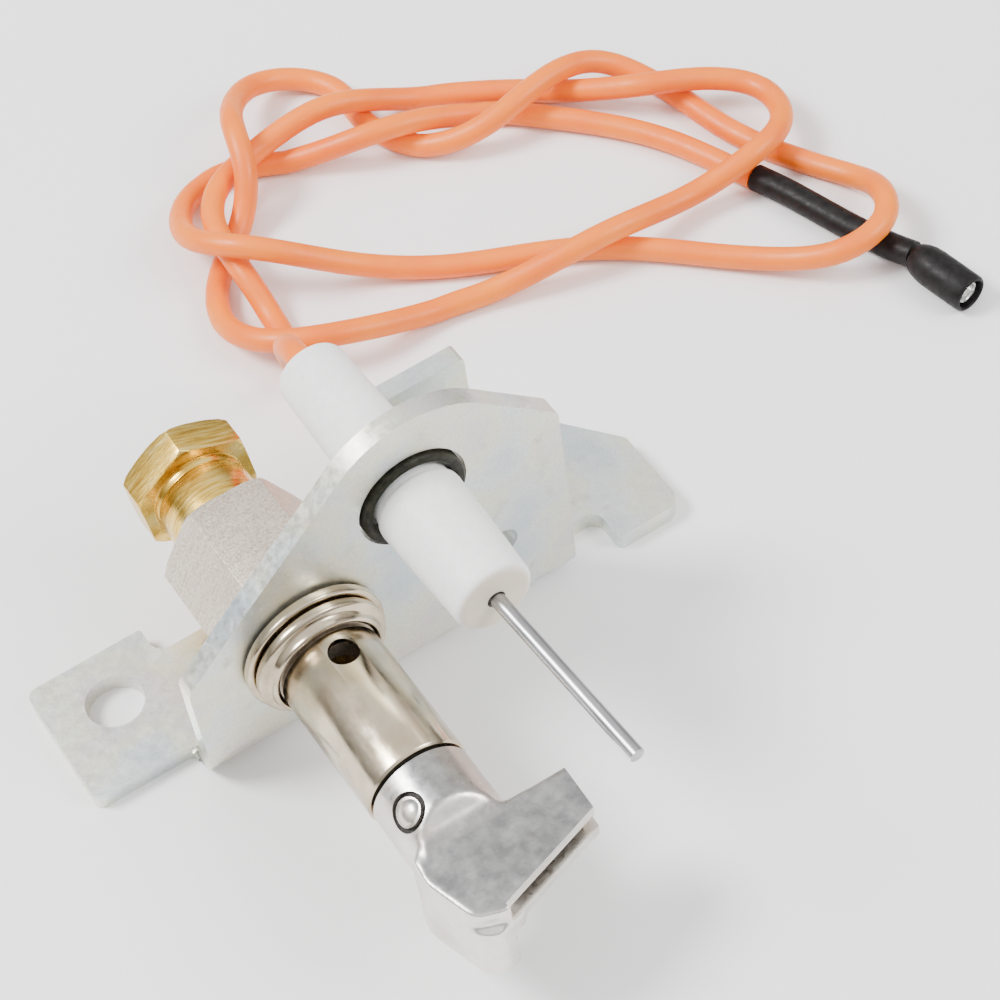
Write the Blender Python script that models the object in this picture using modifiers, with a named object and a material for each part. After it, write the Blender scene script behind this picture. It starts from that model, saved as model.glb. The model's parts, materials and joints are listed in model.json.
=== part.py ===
"""Gas pilot burner on a bent bracket, with its ignition electrode, spark lead and terminal.

Dimensions are millimetres and are turned into metres where geometry is made. The design frame has x = 0 on the
burner tube's axis, y = 0 on the upright's front face and z = 0 under the base. FRAME_SHIFT moves it so that the
world origin is the middle of the assembly's footprint, without the lead.
"""

import math

import bmesh
import bpy
import numpy as np
from mathutils import Matrix, Vector

NAME = "pilot_ignition_electrode"
MM = 0.001
GAP = 0.3  # left between pieces that touch
WELD = 0.00005

# Bracket
PLATE = 2.3
BEND_R = 4.7  # outer radius of both bends
BEND_STEPS = 6
EAR_LEFT, EAR_RIGHT = -25.1, 44.6
EAR_BACK = 20.5
MIDDLE_BACK = 16.65
UPRIGHT_LEFT, UPRIGHT_RIGHT = -13.65, 31.0
LEFT_SHOULDER_Z, RIGHT_SHOULDER_Z = 16.85, 27.7
CROWN_X, CROWN_APEX_Z, CROWN_R = 14.8, 43.0, 11.9
NOTCH_RIGHT = 36.4
TAB_LEFT, TAB_RIGHT, TAB_BACK, TAB_TOP = 18.0, 29.85, 19.6, 20.5
RELIEF = 1.05  # width of the slots beside the tab
EAR_HOLE = (-17.8, 14.0, 3.2)
SPARE_HOLE = (22.7, 12.6, 1.8)

# Burner
BURNER_Z = 14.72
BURNER_HOLE_R = 5.9
BODY_AF, BODY_REAR = 14.29, 16.0
BODY_CORNER_DEG = 58.6
SPIGOT_R = 5.55
COLLAR_FRONT = -3.9
TUBE_R, TUBE_BORE_R = 5.57, 4.9
TUBE_FRONT = -20.7
AIR_HOLE = (0.7, -6.8, 1.6)
MIXER_R, MIXER_BORE_R = 4.6, 3.9
HOOD_R, HOOD_REAR, HOOD_FRONT = 5.4, -21.2, -39.5
HOOD_TOP = 17.8
HOOD_WALL = 0.75

# Compression nut
NUT_AF, NUT_FACE, NUT_REAR = 12.7, 23.1, 27.1
NUT_CORNER_DEG = 35.6
NUT_NECK_R, NUT_NOSE = 5.25, 12.0
BODY_BORE_R, BODY_BORE_END = 5.34, 3.3
PIPE_R = 3.2

# Electrode
CERAMIC_X, CERAMIC_Z = 13.9, 27.46
CERAMIC_HOLE_R = 6.14
CERAMIC_TIP, CERAMIC_REAR = -15.2, 20.0
ROD_R = 0.8
ROD_END = (15.07, -37.27, 27.0)

# Lead
LEAD_R = 1.4
SLEEVE_R = 1.6
BOOT_R, BOOT_LENGTH = 2.3, 8.8
CORD_STEP = 7.2  # spacing of the tube's sections
FLOOR_GAP = 0.1  # between the lead and the surface it lies on

FRAME_SHIFT = (-(EAR_LEFT + EAR_RIGHT) / 2, -(HOOD_FRONT + NUT_REAR) / 2, 0.0)

# The lead's route, from inside the ceramic to the start of the black sleeve
LEAD_ROUTE = [
    (13.9, 17.5, 27.46), (13.9, 20.6, 27.46), (14.1, 24.4, 26.3), (15.1, 28.6, 22.0), (17.0, 32.6, 14.2),
    (19.3, 37.4, 5.8), (21.0, 42.8, 1.8), (22.2, 50.4, 1.45), (22.1, 56.1, 4.2), (22.7, 63.4, 4.9),
    (26.1, 69.0, 4.7), (34.0, 72.0, 4.6), (42.9, 71.4, 6.0), (52.8, 70.2, 2.0), (61.0, 65.9, 1.45),
    (68.5, 59.7, 1.9), (74.6, 52.2, 5.0), (81.9, 48.8, 4.3), (86.6, 44.1, 3.6), (85.2, 37.8, 4.4),
    (78.8, 34.6, 5.2), (70.5, 35.4, 3.0), (58.8, 34.9, 5.0), (48.1, 37.1, 2.6), (37.5, 39.7, 1.6),
    (26.1, 40.8, 4.9), (18.7, 45.9, 4.2), (17.6, 54.6, 1.45), (21.6, 60.8, 1.45), (26.2, 64.6, 2.2),
    (29.5, 67.9, 6.2), (31.2, 73.0, 8.1), (33.8, 78.6, 6.0), (38.2, 82.4, 3.6), (43.6, 81.8, 1.9),
    (46.9, 77.2, 1.45), (46.9, 70.6, 1.45), (49.8, 63.4, 1.45), (56.6, 59.0, 3.8), (65.0, 59.3, 5.6),
    (73.4, 59.8, 3.8), (78.2, 54.6, 1.45), (80.4, 44.0, 1.45), (84.0, 34.4, 1.45), (87.6, 26.8, 2.2),
    (87.5, 21.6, 4.3), (84.6, 17.3, 5.2), (78.6, 16.9, 4.3), (73.2, 21.6, 2.3), (67.6, 27.6, 1.5),
    (57.0, 37.0, 1.45), (44.4, 43.6, 1.45), (33.6, 50.0, 3.2), (23.4, 55.6, 8.1), (19.3, 64.6, 5.2),
    (25.8, 73.4, 1.45), (35.6, 70.8, 1.45), (43.9, 65.7, 4.7), (50.7, 64.3, 4.3), (58.6, 63.0, 1.45),
    (64.6, 57.8, 1.45), (70.4, 51.2, 1.45), (74.8, 44.0, 1.45), (77.4, 37.4, 1.45), (78.6, 34.4, 1.5),
]
SLEEVE_ROUTE = [
    (78.7, 34.1, 1.65), (80.3, 29.6, 1.65), (82.3, 22.6, 1.7), (84.2, 16.6, 1.9), (85.5, 12.9, 2.35),
]
BOOT_DIRECTION = (0.16, -1.0, 0.0)


def clear_scene():
    for thing in list(bpy.data.objects):
        bpy.data.objects.remove(thing)


def new_collection(name):
    made = bpy.data.collections.new(name)
    bpy.context.scene.collection.children.link(made)
    return made


clear_scene()
PARTS = new_collection(NAME)
CUTTERS = new_collection("cutters")
ORIGIN = bpy.data.objects.new("design_frame", None)
ORIGIN.location = Vector(FRAME_SHIFT) * MM
PARTS.objects.link(ORIGIN)


def material(name, color, roughness, metallic):
    made = bpy.data.materials.new(name)
    made.use_nodes = True
    shader = made.node_tree.nodes["Principled BSDF"]
    shader.inputs["Base Color"].default_value = (*color, 1.0)
    shader.inputs["Roughness"].default_value = roughness
    shader.inputs["Metallic"].default_value = metallic
    return made


def place(name, data, finish=None, location=(0, 0, 0), turn=(0, 0, 0)):
    """A part with a finish, or a cutter without one, in the design frame."""
    made = bpy.data.objects.new(name, data)
    made.location = Vector(location) * MM
    made.rotation_euler = turn
    made.parent = ORIGIN
    if finish:
        data.materials.clear()
        data.materials.append(finish)
        PARTS.objects.link(made)
    else:
        made.hide_render = True
        made.display_type = "WIRE"
        CUTTERS.objects.link(made)
    return made


def along_y(x, z):
    """Location and turn that lay a part's own z axis along the design's y axis."""
    return {"location": (x, 0, z), "turn": (-math.pi / 2, 0, 0)}


def turned(name, profile, finish=None, centre=(0, BURNER_Z), segments=40, closed=True):
    """A turned shape from (radius, y) points, outside run to lower y; closed=False ends on the axis."""
    mesh = bpy.data.meshes.new(name)
    bm = bmesh.new()
    verts = [bm.verts.new((r * MM, 0, y * MM)) for r, y in profile]
    for a, b in zip(verts, verts[1:] + (verts[:1] if closed else [])):
        bm.edges.new((a, b))
    bm.to_mesh(mesh)
    bm.free()
    made = place(name, mesh, finish, **along_y(*centre))
    screw = made.modifiers.new("turn", "SCREW")
    screw.steps = segments
    screw.render_steps = segments
    screw.use_merge_vertices = not closed
    screw.merge_threshold = WELD
    screw.use_smooth_shade = True
    return made


def ring(name, outer, inner, rear, front, finish=None, **where):
    return turned(name, [(outer, rear), (outer, front), (inner, front), (inner, rear)], finish, **where)


def rod_cutter(name, radius, rear, front, **where):
    return turned(name, [(0, rear), (radius, rear), (radius, front), (0, front)], closed=False, **where)


def hexagon(name, across_flats, rear, front, corner_deg, finish):
    """A hexagonal bar along the burner's axis with one corner at corner_deg, seen from the front."""
    mesh = bpy.data.meshes.new(name)
    bm = bmesh.new()
    radius = across_flats / math.sqrt(3) * MM
    first_corner = 30
    turn = Matrix.Rotation(math.radians(first_corner - corner_deg), 4, "Z")
    lift = Matrix.Translation((0, 0, (rear + front) / 2 * MM))
    bmesh.ops.create_cone(
        bm, cap_ends=True, segments=6, radius1=radius, radius2=radius, depth=(rear - front) * MM, matrix=lift @ turn
    )
    bm.to_mesh(mesh)
    bm.free()
    return place(name, mesh, finish, **along_y(0, BURNER_Z))


def combine(part, tool, operation):
    step = part.modifiers.new(operation.lower(), "BOOLEAN")
    step.object = tool
    step.operation = operation
    step.solver = "EXACT"


def rounded(corners, steps=5):
    """Outline points for (x, y, radius) corners, each turned into an arc."""
    points = []
    for i, (x, y, radius) in enumerate(corners):
        here = Vector((x, y))
        back = (Vector(corners[i - 1][:2]) - here).normalized()
        ahead = (Vector(corners[(i + 1) % len(corners)][:2]) - here).normalized()
        half = back.angle(ahead) / 2
        reach = radius / math.tan(half)
        centre = here + (back + ahead).normalized() * radius / math.sin(half)
        start = here + back * reach - centre
        sweep = start.angle_signed(here + ahead * reach - centre)
        for k in range(steps + 1):
            turn = Matrix.Rotation(-sweep * k / steps, 2)
            points.append(centre + turn @ start)
    return points


def circle(x, y, radius, segments=32):
    angles = [2 * math.pi * k / segments for k in range(segments)]
    return [Vector((x + radius * math.cos(a), y + radius * math.sin(a))) for a in angles]


def flat_mesh(name, outlines, thickness=0.0):
    """The mesh of a filled flat outline, with any further outlines as holes, made from a 2D curve."""
    curve = bpy.data.curves.new(name, "CURVE")
    curve.dimensions = "2D"
    curve.fill_mode = "BOTH"
    curve.extrude = thickness / 2 * MM
    for outline in outlines:
        spline = curve.splines.new("POLY")
        spline.points.add(len(outline) - 1)
        for point, corner in zip(spline.points, outline):
            point.co = (corner[0] * MM, corner[1] * MM, 0, 1)
        spline.use_cyclic_u = True
    holder = bpy.data.objects.new(name + "_outline", curve)
    CUTTERS.objects.link(holder)
    ready = holder.evaluated_get(bpy.context.evaluated_depsgraph_get())
    mesh = bpy.data.meshes.new_from_object(ready)
    bpy.data.objects.remove(holder)
    bm = bmesh.new()
    bm.from_mesh(mesh)
    bmesh.ops.remove_doubles(bm, verts=bm.verts, dist=WELD / 5)
    bmesh.ops.recalc_face_normals(bm, faces=bm.faces)
    bm.to_mesh(mesh)
    bm.free()
    return mesh


def slab(name, outline, low, high, finish=None):
    """A plan outline raised from z = low to z = high."""
    return place(name, flat_mesh(name, [outline], high - low), finish, location=(0, 0, (low + high) / 2))


def box(x0, x1, y0, y1):
    return [(x0, y0), (x1, y0), (x1, y1), (x0, y1)]


def make_bracket(finish):
    """A flat blank with its holes, bent up at the front and at the rear tab, then given its thickness."""
    middle_r = BEND_R - PLATE / 2
    arc = middle_r * math.pi / 2
    tab_bend = TAB_BACK - BEND_R
    slot_end = tab_bend - 0.7

    def up(z):
        """Blank y of height z on the upright."""
        return BEND_R - arc - (z - BEND_R)

    tab_end = tab_bend + arc + TAB_TOP - BEND_R
    corners = [
        (EAR_LEFT, 4.6, 0.8), (UPRIGHT_LEFT, 4.6, 1.2), (UPRIGHT_LEFT, up(LEFT_SHOULDER_Z), 2.0),
        (CROWN_X, up(CROWN_APEX_Z), CROWN_R), (UPRIGHT_RIGHT, up(RIGHT_SHOULDER_Z), 1.2),
        (UPRIGHT_RIGHT, 4.65, 0.6), (NOTCH_RIGHT, 4.65, 1.5), (NOTCH_RIGHT, 0.0, 0.7),
        (EAR_RIGHT, 0.0, 2.0), (EAR_RIGHT, 10.8, 1.0), (37.1, EAR_BACK, 0.8),
        (TAB_RIGHT + RELIEF, EAR_BACK, 0.6), (TAB_RIGHT + RELIEF, slot_end, 0.4), (TAB_RIGHT, slot_end, 0.4),
        (TAB_RIGHT, tab_end, 0.6), (TAB_LEFT, tab_end, 0.6), (TAB_LEFT, slot_end, 0.4),
        (TAB_LEFT - RELIEF, slot_end, 0.4), (TAB_LEFT - RELIEF, MIDDLE_BACK, 0.5),
        (-11.3, MIDDLE_BACK, 1.6), (-11.3, EAR_BACK, 0.4), (EAR_LEFT, EAR_BACK, 1.2),
    ]
    holes = [
        circle(*EAR_HOLE),
        circle(0, up(BURNER_Z), BURNER_HOLE_R),
        circle(CERAMIC_X, up(CERAMIC_Z), CERAMIC_HOLE_R),
        circle(SPARE_HOLE[0], up(SPARE_HOLE[1]), SPARE_HOLE[2], segments=20),
    ]
    mesh = flat_mesh("bracket", [rounded(corners), *holes])
    bm = bmesh.new()
    bm.from_mesh(mesh)
    for k in range(BEND_STEPS + 1):
        for y in (BEND_R - arc * k / BEND_STEPS, tab_bend + arc * k / BEND_STEPS):
            everything = bm.verts[:] + bm.edges[:] + bm.faces[:]
            bmesh.ops.bisect_plane(bm, geom=everything, plane_co=(0, y * MM, 0), plane_no=(0, 1, 0), dist=1e-8)
    for vert in bm.verts:
        x, y = vert.co.x / MM, vert.co.y / MM
        on_upright = UPRIGHT_LEFT - 0.01 < x < UPRIGHT_RIGHT + 0.01 and y < BEND_R
        on_tab = TAB_LEFT - 0.01 < x < TAB_RIGHT + 0.01 and y > tab_bend
        z = PLATE / 2
        if on_upright or on_tab:
            bend_at, side = (BEND_R, -1) if on_upright else (tab_bend, 1)
            run = abs(y - bend_at)
            angle = min(run, arc) / middle_r
            y = bend_at + side * middle_r * math.sin(angle)
            z = BEND_R - middle_r * math.cos(angle) + max(0, run - arc)
        vert.co = Vector((x, y, z)) * MM
    bm.to_mesh(mesh)
    bm.free()
    made = place("bracket", mesh, finish)
    shell = made.modifiers.new("plate", "SOLIDIFY")
    shell.thickness = PLATE * MM
    shell.offset = 0
    shell.use_even_offset = True
    return made


def make_body(finish):
    body = hexagon("burner_body", BODY_AF, BODY_REAR, PLATE + GAP, BODY_CORNER_DEG, finish)
    spigot = turned(
        "body_spigot",
        [(0, 4.0), (SPIGOT_R, 4.0), (SPIGOT_R, -3.6), (4.55, -3.6), (4.55, -4.9), (0, -4.9)],
        closed=False,
    )
    bore = turned(
        "body_bore",
        [
            (0, BODY_REAR + 1), (BODY_BORE_R + 0.5, BODY_REAR + 1), (BODY_BORE_R + 0.5, BODY_REAR - 0.5),
            (BODY_BORE_R, BODY_REAR - 1), (BODY_BORE_R, BODY_BORE_END), (3.4, BODY_BORE_END), (3.4, -2.0),
            (2.4, -2.0), (2.4, -6.0), (0, -6.0),
        ],
        closed=False,
        segments=48,
    )
    combine(body, spigot, "UNION")
    combine(body, bore, "DIFFERENCE")


def make_collar_stack(steel, nickel):
    inner = SPIGOT_R + GAP
    ring("lock_washer", 7.85, inner, -0.3, -1.5, steel)
    turned(
        "retaining_collar",
        [
            (7.3, -1.8), (7.3, -2.7), (6.5, -2.9), (6.3, COLLAR_FRONT), (inner, COLLAR_FRONT), (inner, -1.8),
        ],
        nickel,
    )


def make_tubes(nickel, steel):
    tube = ring("burner_tube", TUBE_R, TUBE_BORE_R, COLLAR_FRONT, TUBE_FRONT, nickel)
    x, y, radius = AIR_HOLE
    drill = slab("air_hole_drill", circle(x, y, radius, 20), BURNER_Z + 2, BURNER_Z + 8)
    combine(tube, drill, "DIFFERENCE")
    ring("mixing_tube", MIXER_R, MIXER_BORE_R, -12.0, -26.6, steel)


def make_hood(finish):
    """A round sleeve that runs into a flat-topped head: a slotted horn to the right and a skirt to the left."""
    head_rear = -30.6
    horn_low, slot_low, slot_high = 13.6, 15.5, 16.25
    skirt_low = 8.2
    hood = turned(
        "hood", [(0, HOOD_REAR), (HOOD_R, HOOD_REAR), (HOOD_R, -31.0), (0, -31.0)], finish, closed=False
    )
    horn = rounded([
        (-5.6, -28.6, 0.8), (-5.9, -32.2, 1.0), (-4.0, -38.2, 1.0), (-0.9, -38.7, 0.8), (10.9, -35.0, 0.5),
        (11.5, -29.0, 0.5),
    ], 3)
    skirt = rounded([
        (-5.6, -28.6, 0.8), (-6.2, -32.0, 0.8), (-4.2, -38.6, 1.2), (-2.6, HOOD_FRONT, 0.8), (-0.8, -38.9, 0.3),
        (-0.8, -28.6, 0.3),
    ], 3)
    horn_inside = rounded([
        (-4.6, -29.2, 0.5), (-5.1, -32.2, 0.6), (-3.4, -37.3, 0.6), (-1.0, -37.9, 0.4), (10.1, -34.3, 0.3),
        (10.7, -29.8, 0.3),
    ], 3)
    skirt_inside = rounded([
        (-4.7, -29.6, 0.5), (-5.4, -32.1, 0.5), (-3.6, -37.9, 0.8), (-2.5, -38.7, 0.4), (1.0, -38.1, 0.1),
        (1.0, -29.6, 0.1),
    ], 3)
    combine(hood, slab("hood_horn", horn, horn_low, HOOD_TOP), "UNION")
    combine(hood, slab("hood_skirt", skirt, skirt_low, horn_low + 1.6), "UNION")
    wedge = place("hood_slope", flat_mesh("hood_slope", [[
        (-27.0, 20.4), (-29.6, HOOD_TOP), (-45.0, HOOD_TOP), (-45.0, 26.0), (-27.0, 26.0),
    ]], 40), turn=(math.pi / 2, 0, math.pi / 2))
    combine(hood, wedge, "DIFFERENCE")
    combine(hood, rod_cutter("hood_bore", TUBE_BORE_R, HOOD_REAR + 1, -27.0), "DIFFERENCE")
    combine(hood, slab("hood_throat", box(-3.2, 3.2, head_rear, -26.0), 10.6, 16.9), "DIFFERENCE")
    combine(hood, slab("horn_chamber", horn_inside, horn_low + HOOD_WALL, HOOD_TOP - HOOD_WALL), "DIFFERENCE")
    combine(hood, slab("skirt_chamber", skirt_inside, skirt_low - 1, horn_low + 1.2), "DIFFERENCE")
    combine(hood, slab("flame_slot", box(-0.4, 14.0, -42.0, -33.0), slot_low, slot_high), "DIFFERENCE")
    upper_lip = [(-0.6, -37.9), (-0.6, -42.0), (14.0, -42.0), (14.0, -33.3)]
    combine(hood, slab("upper_lip_trim", upper_lip, slot_low + 0.2, HOOD_TOP + 1), "DIFFERENCE")


def make_stud(finish):
    """A small domed stud on the hood's sleeve."""
    angle = math.radians(130)
    radius = HOOD_R + GAP
    profile = [(0, 0.55), (0.7, 0.5), (1.25, 0.2), (1.35, 0), (0, 0)]
    stud = turned("hood_stud", profile, finish, segments=20, closed=False)
    stud.location = Vector((radius * math.cos(angle), -25.2, BURNER_Z + radius * math.sin(angle))) * MM
    stud.rotation_euler = (0, math.pi / 2 - angle, 0)


def make_nut(brass):
    nut = hexagon("compression_nut", NUT_AF, NUT_REAR, NUT_FACE, NUT_CORNER_DEG, brass)
    corner_r = NUT_AF / math.sqrt(3)
    chamfer = turned(
        "nut_chamfer",
        [
            (0, NUT_REAR), (corner_r - 0.8, NUT_REAR), (corner_r + 0.1, NUT_REAR - 0.6),
            (corner_r + 0.1, NUT_FACE + 0.3), (corner_r - 0.5, NUT_FACE), (0, NUT_FACE),
        ],
        closed=False,
    )
    neck = turned(
        "nut_neck",
        [(0, NUT_FACE + 0.8), (NUT_NECK_R, NUT_FACE + 0.8), (NUT_NECK_R, NUT_NOSE), (0, NUT_NOSE)],
        closed=False,
    )
    combine(nut, chamfer, "INTERSECT")
    combine(nut, neck, "UNION")
    combine(nut, rod_cutter("nut_bore", PIPE_R, NUT_REAR + 1, NUT_NOSE - 1), "DIFFERENCE")
    turned(
        "compression_ferrule",
        [(4.9, 11.7), (4.9, 11.0), (4.2, 10.1), (PIPE_R, 10.1), (PIPE_R, 11.7)],
        brass,
    )
    turned(
        "pilot_orifice",
        [(3.1, 2.9), (3.1, -1.7), (0.4, -1.7), (0.4, -0.2), (1.6, 0.8), (1.6, 2.9)],
        brass,
        segments=28,
    )


def make_electrode(ceramic_white, black_steel, rod_steel, copper, cement, resin):
    centre = (CERAMIC_X, CERAMIC_Z)
    turned(
        "ceramic_insulator",
        [
            (3.6, CERAMIC_REAR), (3.85, CERAMIC_REAR - 0.3), (4.3, 3.0), (4.3, -0.9), (4.74, -1.2),
            (4.3, CERAMIC_TIP + 0.8), (3.6, CERAMIC_TIP), (2.2, CERAMIC_TIP), (2.2, CERAMIC_TIP + 2.5),
            (1.2, CERAMIC_TIP + 2.7), (1.2, 2.5), (2.0, 2.7), (2.0, 13.5), (2.6, 13.8), (2.6, CERAMIC_REAR),
        ],
        ceramic_white, centre=centre, segments=36,
    )
    clip = ring("insulator_clip", CERAMIC_HOLE_R - GAP, 4.6, 2.7, -0.6, black_steel, centre=centre)
    slot = slab("clip_slot", box(CERAMIC_X - 0.5, CERAMIC_X + 0.5, -3, 5), CERAMIC_Z - 8, CERAMIC_Z - 3)
    combine(clip, slot, "DIFFERENCE")
    ring("front_cement", 1.9, 1.2, CERAMIC_TIP + 2.2, CERAMIC_TIP + 0.1, cement, centre=centre, segments=24)
    ring("crimp_sleeve", 1.6, 1.1, 13.0, 3.2, copper, centre=centre, segments=20)
    ring("rear_potting", 2.3, LEAD_R + GAP, CERAMIC_REAR - 0.2, 14.2, resin, centre=centre, segments=24)
    rod_bend = Vector((CERAMIC_X, CERAMIC_TIP + 1.5, CERAMIC_Z))
    rod = [Vector((CERAMIC_X, 7.5, CERAMIC_Z)), rod_bend, Vector(ROD_END)]
    wire("electrode_rod", rod, ROD_R, rod_steel, 3)
    core = [Vector((CERAMIC_X, y, CERAMIC_Z)) for y in (8.1, 17.2)]
    wire("lead_conductor_inner", core, 0.6, copper, 2)


def smooth_route(route, step, floor_z):
    """Points at even spacing on a natural cubic spline through the route, none lower than floor_z."""
    points = np.array(route, float)
    knots = np.concatenate(([0.0], np.cumsum(np.sqrt(np.linalg.norm(np.diff(points, axis=0), axis=1)))))
    gaps = np.diff(knots)
    slopes = np.diff(points, axis=0) / gaps[:, None]
    count = len(points)
    system = np.eye(count)
    target = np.zeros((count, 3))
    for i in range(1, count - 1):
        system[i, i - 1:i + 2] = gaps[i - 1], 2 * (gaps[i - 1] + gaps[i]), gaps[i]
        target[i] = 6 * (slopes[i] - slopes[i - 1])
    bend = np.linalg.solve(system, target)
    fine = []
    for i, gap in enumerate(gaps):
        for t in np.linspace(0, gap, 30, endpoint=i == count - 2):
            a, b = (gap - t) / gap, t / gap
            curve = (a**3 - a) * bend[i] + (b**3 - b) * bend[i + 1]
            fine.append(a * points[i] + b * points[i + 1] + curve * gap**2 / 6)
    fine = np.array(fine)
    fine[:, 2] = np.maximum(fine[:, 2], floor_z)
    run = np.concatenate(([0.0], np.cumsum(np.linalg.norm(np.diff(fine, axis=0), axis=1))))
    stops = np.linspace(0, run[-1], round(run[-1] / step) + 1)
    return [Vector([np.interp(s, run, fine[:, k]) for k in range(3)]) for s in stops]


def wire(name, points, radius, finish, resolution=2):
    curve = bpy.data.curves.new(name, "CURVE")
    curve.dimensions = "3D"
    curve.bevel_depth = radius * MM
    curve.bevel_resolution = resolution
    curve.use_fill_caps = True
    spline = curve.splines.new("POLY")
    spline.points.add(len(points) - 1)
    for point, co in zip(spline.points, points):
        point.co = (*(co * MM), 1)
    return place(name, curve, finish)


def make_lead(orange, black, copper, bright):
    wire("ignition_lead", smooth_route(LEAD_ROUTE, CORD_STEP, LEAD_R + FLOOR_GAP), LEAD_R, orange)
    wire("heat_shrink_sleeve", smooth_route(SLEEVE_ROUTE, CORD_STEP / 2, SLEEVE_R + FLOOR_GAP), SLEEVE_R, black)
    start = Vector(SLEEVE_ROUTE[-1])
    direction = Vector(BOOT_DIRECTION).normalized()
    heading = math.atan2(direction.y, direction.x)

    def on_lead(piece, offset):
        """Lays a turned piece along the terminal's direction, with its own zero at offset past the sleeve."""
        piece.location = (start + direction * offset) * MM
        piece.rotation_euler = (0, math.pi / 2, heading)

    boot = turned(
        "terminal_boot",
        [
            (2.0, BOOT_LENGTH), (BOOT_R, BOOT_LENGTH - 0.4), (BOOT_R, 1.0), (1.7, 0.3), (0.9, 0.3),
            (0.9, 2.2), (1.75, 2.8), (1.75, BOOT_LENGTH),
        ],
        black, segments=20,
    )
    on_lead(boot, 0)
    socket = turned(
        "socket_terminal",
        [
            (1.45, BOOT_LENGTH - 0.6), (1.45, 3.2), (1.0, 3.2), (1.0, BOOT_LENGTH - 0.6),
        ],
        bright, segments=20,
    )
    on_lead(socket, 0)
    core = [start + direction * run for run in (0.35, 4.6)]
    wire("lead_conductor_outer", core, 0.55, copper)


def main():
    zinc = material("zinc_plate", (0.72, 0.76, 0.74), 0.35, 1.0)
    blasted = material("blasted_nickel", (0.62, 0.56, 0.5), 0.5, 1.0)
    nickel = material("polished_nickel", (0.72, 0.66, 0.56), 0.2, 1.0)
    stainless = material("stainless", (0.66, 0.64, 0.6), 0.35, 1.0)
    brass = material("brass", (0.83, 0.62, 0.2), 0.25, 1.0)
    white = material("ceramic_white", (0.9, 0.9, 0.88), 0.45, 0.0)
    oxide = material("black_oxide", (0.05, 0.05, 0.04), 0.45, 1.0)
    rod_steel = material("rod_steel", (0.45, 0.46, 0.48), 0.35, 1.0)
    copper = material("tinned_copper", (0.75, 0.6, 0.5), 0.35, 1.0)
    cement = material("cement", (0.75, 0.7, 0.62), 0.8, 0.0)
    resin = material("resin", (0.85, 0.83, 0.78), 0.6, 0.0)
    orange = material("orange_silicone", (0.95, 0.25, 0.05), 0.45, 0.0)
    black = material("black_shrink", (0.02, 0.02, 0.022), 0.45, 0.0)
    bright = material("socket_tin", (0.85, 0.85, 0.83), 0.3, 1.0)
    make_bracket(zinc)
    make_body(blasted)
    make_collar_stack(zinc, nickel)
    make_tubes(nickel, stainless)
    make_hood(stainless)
    make_stud(stainless)
    make_nut(brass)
    make_electrode(white, oxide, rod_steel, copper, cement, resin)
    make_lead(orange, black, copper, bright)


main()
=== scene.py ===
"""Looks for the gas pilot burner with its ignition electrode and lead.

Lengths are millimetres in the design frame until world() places them: x = 0 on the burner's axis,
y = 0 on the upright's front face, z = 0 under the base.
"""

import json
import math

import bmesh
import bpy
import numpy as np
from mathutils import Matrix, Vector

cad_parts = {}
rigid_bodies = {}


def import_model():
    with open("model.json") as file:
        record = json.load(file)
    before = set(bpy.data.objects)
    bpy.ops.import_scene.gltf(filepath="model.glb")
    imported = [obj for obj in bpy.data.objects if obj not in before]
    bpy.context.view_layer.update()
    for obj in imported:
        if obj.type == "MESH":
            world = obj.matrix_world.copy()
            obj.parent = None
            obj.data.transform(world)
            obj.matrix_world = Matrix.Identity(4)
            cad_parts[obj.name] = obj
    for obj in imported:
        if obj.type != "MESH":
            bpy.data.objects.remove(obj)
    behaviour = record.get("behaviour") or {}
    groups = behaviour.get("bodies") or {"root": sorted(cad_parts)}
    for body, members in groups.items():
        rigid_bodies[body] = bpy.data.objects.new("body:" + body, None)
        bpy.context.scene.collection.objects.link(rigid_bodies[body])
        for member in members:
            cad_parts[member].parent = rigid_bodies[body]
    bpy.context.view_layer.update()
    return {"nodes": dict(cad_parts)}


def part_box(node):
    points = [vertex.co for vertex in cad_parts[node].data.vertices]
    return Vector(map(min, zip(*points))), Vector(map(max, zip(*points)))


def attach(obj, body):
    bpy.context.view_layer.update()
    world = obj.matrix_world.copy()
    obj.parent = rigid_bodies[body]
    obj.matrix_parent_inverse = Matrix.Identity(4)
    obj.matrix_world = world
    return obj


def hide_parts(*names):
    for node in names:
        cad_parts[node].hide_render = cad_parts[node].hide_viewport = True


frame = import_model()

MM = 0.001
WELD = 0.00001


def centre(node):
    low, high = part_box(node)
    return (low + high) / 2


# The design frame's place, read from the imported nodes
SHIFT = Vector((centre("burner_tube").x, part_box("bracket")[0].y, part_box("bracket")[0].z))


def world(x, y, z):
    return Vector((x, y, z)) * MM + SHIFT


def across(node):
    """A turned node's axis as (x, z), its radius, and its front and rear, in the design frame."""
    low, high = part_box(node)
    middle = ((low + high) / 2 - SHIFT) / MM
    return (middle.x, middle.z), (high.x - low.x) / 2 / MM, (low.y - SHIFT.y) / MM, (high.y - SHIFT.y) / MM


BURNER, TUBE_R, TUBE_FRONT, TUBE_REAR = across("burner_tube")
BURNER_Z = BURNER[1]
CERAMIC, CERAMIC_R, CERAMIC_TIP, CERAMIC_REAR = across("ceramic_insulator")
PLATE = 2.3
BEND_R = 4.7
HOOD_R, HOOD_REAR, HOOD_FRONT, HOOD_TOP, HOOD_WALL = 5.4, -21.2, -39.4, 17.8, 0.75


# ---------------------------------------------------------------- shape helpers

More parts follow.
